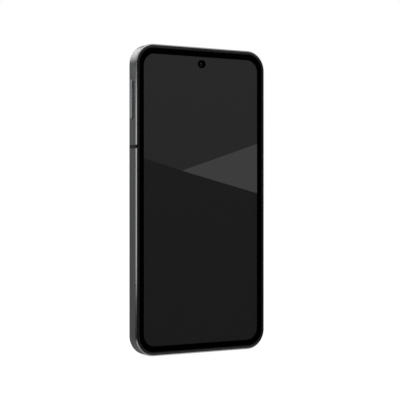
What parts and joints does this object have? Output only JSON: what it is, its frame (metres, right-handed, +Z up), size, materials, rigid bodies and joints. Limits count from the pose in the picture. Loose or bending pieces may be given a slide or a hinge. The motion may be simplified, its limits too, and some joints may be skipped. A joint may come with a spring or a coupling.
{
  "type": "smartphone",
  "caption": "Slab smartphone with a flat screen in a metal rim, side keys, a pull-out SIM tray, a round front camera window and a raised rear camera plate.",
  "frame": {"origin": "middle of the bottom edge, at the centre of the bounding box's base", "axes": "+Z up the phone's long side, -Y out of the screen, +Y out of the back, +X to the right seen from the front"},
  "size_m": [0.072, 0.0094, 0.147],
  "materials": {
    "rim": "dark grey anodised, satin",
    "band": "dark moulded, satin",
    "black_plastic": "black, satin",
    "front_glass": "clear, polished, with a black printed border",
    "display": "lit panel with a plain grey pattern",
    "back_glass": "dark grey, etched satin",
    "lens_glass": "coated, polished",
    "steel": "plain sheet",
    "cast_plate": "cast, matt",
    "circuit_board": "solder mask",
    "flex": "polyimide film",
    "battery": "film-wrapped pouch",
    "copper": "enamelled wire",
    "thermal": "soft pad"
  },
  "bodies": {
    "housing": {"antenna_band_left": "band", "antenna_band_right": "band", "back_cover": "back_glass", "battery": "battery", "battery_connector": "flex", "camera_island": "rim", "charging_coil": "copper", "chassis_plate": "cast_plate", "coax_cable": "black_plastic", "display_flex": "flex", "display_lip": "black_plastic", "display_panel": "display", "earpiece_box": "black_plastic", "earpiece_mesh": "steel", "flash_led": "thermal", "flash_window": "lens_glass", "frame_lower": "rim", "frame_upper": "rim", "front_camera": "black_plastic", "front_glass": "front_glass", "interconnect_flex": "flex", "light_sensor": "black_plastic", "loudspeaker_box": "black_plastic", "lower_inner_cover": "black_plastic", "main_camera_body": "cast_plate", "main_lens_ring": "steel", "main_lens_window": "lens_glass", "mainboard": "circuit_board", "microphone": "steel", "power_flex": "flex", "power_switch": "steel", "processor_shield": "steel", "radio_shield": "steel", "screw_lower_left": "steel", "screw_lower_middle": "steel", "screw_lower_right": "steel", "screw_upper_left": "steel", "screw_upper_middle": "steel", "screw_upper_tray": "steel", "sim_reader": "steel", "speaker_mesh": "steel", "sub_board": "circuit_board", "thermal_pad": "thermal", "upper_inner_cover": "black_plastic", "usb_receptacle": "steel", "usb_tongue": "black_plastic", "vibration_motor_can": "steel", "volume_flex": "flex", "volume_switch_lower": "steel", "volume_switch_upper": "steel", "wide_camera": "cast_plate", "wide_lens_ring": "steel", "wide_lens_window": "lens_glass"},
    "volume_key": {"volume_key": "rim"},
    "power_key": {"power_key": "rim"},
    "sim_tray": {"sim_tray": "rim"},
    "lens_barrel": {"main_camera_barrel": "black_plastic"},
    "vibration_mass": {"vibration_motor_mass": "steel"},
    "loudspeaker_cone": {"loudspeaker_cone": "black_plastic"},
    "earpiece_cone": {"earpiece_cone": "black_plastic"}
  },
  "joints": [
    {"name": "volume_key_press", "type": "slide", "parent": "housing", "child": "volume_key", "axis": [1, 0, 0], "range_m": [0, 0.00025], "stiffness_N_per_m": 2000},
    {"name": "power_key_press", "type": "slide", "parent": "housing", "child": "power_key", "axis": [-1, 0, 0], "range_m": [0, 0.00025], "stiffness_N_per_m": 2000},
    {"name": "sim_tray_pull", "type": "slide", "parent": "housing", "child": "sim_tray", "axis": [0, 0, 1], "range_m": [0, 0.0175]},
    {"name": "main_lens_focus", "type": "slide", "parent": "housing", "child": "lens_barrel", "axis": [0, 1, 0], "range_m": [0, 0.0003], "stiffness_N_per_m": 40},
    {"name": "vibration_mass_slide", "type": "slide", "parent": "housing", "child": "vibration_mass", "axis": [1, 0, 0], "range_m": [-0.0005, 0.0005], "stiffness_N_per_m": 400},
    {"name": "loudspeaker_cone_travel", "type": "slide", "parent": "housing", "child": "loudspeaker_cone", "axis": [0, 1, 0], "range_m": [-0.00015, 0.00015], "stiffness_N_per_m": 200},
    {"name": "earpiece_cone_travel", "type": "slide", "parent": "housing", "child": "earpiece_cone", "axis": [0, 1, 0], "range_m": [-0.00015, 0.00015], "stiffness_N_per_m": 100}
  ]
}
